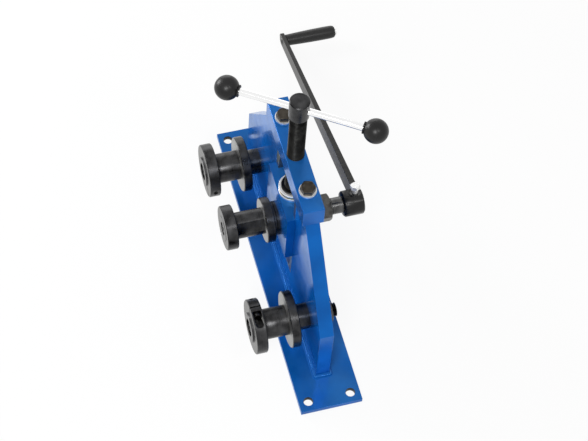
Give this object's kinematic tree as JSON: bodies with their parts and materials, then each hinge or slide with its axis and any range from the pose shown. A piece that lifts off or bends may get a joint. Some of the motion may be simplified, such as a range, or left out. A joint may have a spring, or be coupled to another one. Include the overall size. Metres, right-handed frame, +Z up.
{
  "type": "ring roller",
  "caption": "Bench ring roller that bends bar and tube into rings: grooved rollers on an upright plate, a screw-fed pressing roller, tommy bar and hand crank.",
  "frame": {"origin": "centre of the base plate's underside, which is the centre of its four bolt holes", "axes": "+X along the roller axles from the rollers to the crank, +Y along the base plate, +Z up along the pressing spindle"},
  "size_m": [0.2868, 0.6475, 0.41],
  "materials": {
    "blue_paint": "smooth gloss paint",
    "black_oxide": "turned and blackened, oiled",
    "black_screw": "black oxide",
    "bright_zinc": "bright zinc plate",
    "bearing_bronze": "bored and turned bronze",
    "cage_brass": "pressed brass",
    "ground_steel": "ground bearing steel",
    "polished_rod": "polished plated rod",
    "black_knob": "moulded, glossy",
    "forged_arm": "blasted and darkened",
    "grip_plastic": "moulded, satin"
  },
  "bodies": {
    "frame": {"base_plate": "blue_paint", "frame_plate": "blue_paint", "weld_bead": "blue_paint", "top_bar": "blue_paint", "top_bar_bolts": "black_oxide", "top_bar_washers": "bright_zinc", "near_axle": "black_oxide", "near_rear_washer": "black_oxide", "near_rear_nut": "black_oxide", "near_end_washer": "bright_zinc", "near_end_screw": "black_screw", "far_axle": "black_oxide", "far_rear_washer": "black_oxide", "far_rear_nut": "black_oxide", "far_end_washer": "bright_zinc", "far_end_screw": "black_screw"},
    "block": {"slide_block": "blue_paint", "back_plate": "blue_paint", "back_plate_screws": "black_screw", "front_bush": "bearing_bronze", "rear_bush": "bearing_bronze", "lower_race": "ground_steel", "neck_grub_screw": "black_screw"},
    "bearing_cage": {"thrust_cage": "cage_brass", "thrust_balls": "ground_steel"},
    "spindle": {"spindle": "black_oxide", "thrust_collar": "black_oxide", "upper_race": "ground_steel"},
    "tommy": {"tommy_bar": "polished_rod", "left_knob": "black_knob", "right_knob": "black_knob"},
    "drive": {"drive_shaft": "black_oxide", "middle_spool": "black_oxide", "middle_key": "bright_zinc", "middle_end_washer": "bright_zinc", "middle_end_screw": "black_screw", "front_ring": "black_oxide", "rear_ring": "black_oxide", "shaft_washer": "bright_zinc", "shaft_nut": "black_oxide", "crank_hub": "black_oxide", "hub_key": "bright_zinc", "hub_grub_screw": "black_screw", "crank_arm": "forged_arm", "arm_clamp_bolt": "bright_zinc", "grip_pin": "bright_zinc", "grip_washer": "bright_zinc"},
    "grip": {"crank_grip": "grip_plastic"},
    "middle_clamp": {"middle_clamp_disc": "black_oxide", "middle_clamp_screw": "black_screw"},
    "near_roller": {"near_spool": "black_oxide", "near_bushes": "bearing_bronze"},
    "near_clamp": {"near_clamp_disc": "black_oxide", "near_clamp_screw": "black_screw"},
    "far_roller": {"far_spool": "black_oxide", "far_bushes": "bearing_bronze"},
    "far_clamp": {"far_clamp_disc": "black_oxide", "far_clamp_screw": "black_screw"}
  },
  "joints": [
    {"name": "block_slide", "type": "slide", "parent": "frame", "child": "block", "axis": [0, 0, 1], "range_m": [-0.038, 0.04]},
    {"name": "spindle_turn", "type": "hinge", "parent": "block", "child": "spindle", "pos_m": [0, 0, 0.2], "axis": [0, 0, 1], "range_deg": [-4561, 4801]},
    {"name": "cage_turn", "type": "hinge", "parent": "block", "child": "bearing_cage", "pos_m": [0, 0, 0.2055], "axis": [0, 0, 1], "range_deg": [-2281, 2401]},
    {"name": "tommy_slide", "type": "slide", "parent": "spindle", "child": "tommy", "axis": [0.8358, -0.549, 0], "range_m": [-0.0735, 0.0685]},
    {"name": "crank_turn", "type": "hinge", "parent": "block", "child": "drive", "pos_m": [0, 0, 0.135], "axis": [1, 0, 0], "range_deg": [-233, 112]},
    {"name": "grip_turn", "type": "hinge", "parent": "drive", "child": "grip", "pos_m": [0.14, 0.38908, 0.01901], "axis": [1, 0, 0], "continuous": true},
    {"name": "middle_disc_slide", "type": "slide", "parent": "drive", "child": "middle_clamp", "axis": [1, 0, 0], "range_m": [-0.0005, 0.04125]},
    {"name": "near_roller_turn", "type": "hinge", "parent": "frame", "child": "near_roller", "pos_m": [-0.06, -0.1355, 0.082], "axis": [1, 0, 0], "continuous": true},
    {"name": "near_disc_slide", "type": "slide", "parent": "near_roller", "child": "near_clamp", "axis": [1, 0, 0], "range_m": [-0.0025, 0.0345]},
    {"name": "far_roller_turn", "type": "hinge", "parent": "frame", "child": "far_roller", "pos_m": [-0.06, 0.1355, 0.082], "axis": [1, 0, 0], "continuous": true},
    {"name": "far_disc_slide", "type": "slide", "parent": "far_roller", "child": "far_clamp", "axis": [1, 0, 0], "range_m": [-0.0025, 0.0345]}
  ],
  "couplings": [
    {"joint": "spindle_turn", "follows": "block_slide", "rad_per_m": 2094.4},
    {"joint": "cage_turn", "follows": "block_slide", "rad_per_m": 1047.2}
  ]
}
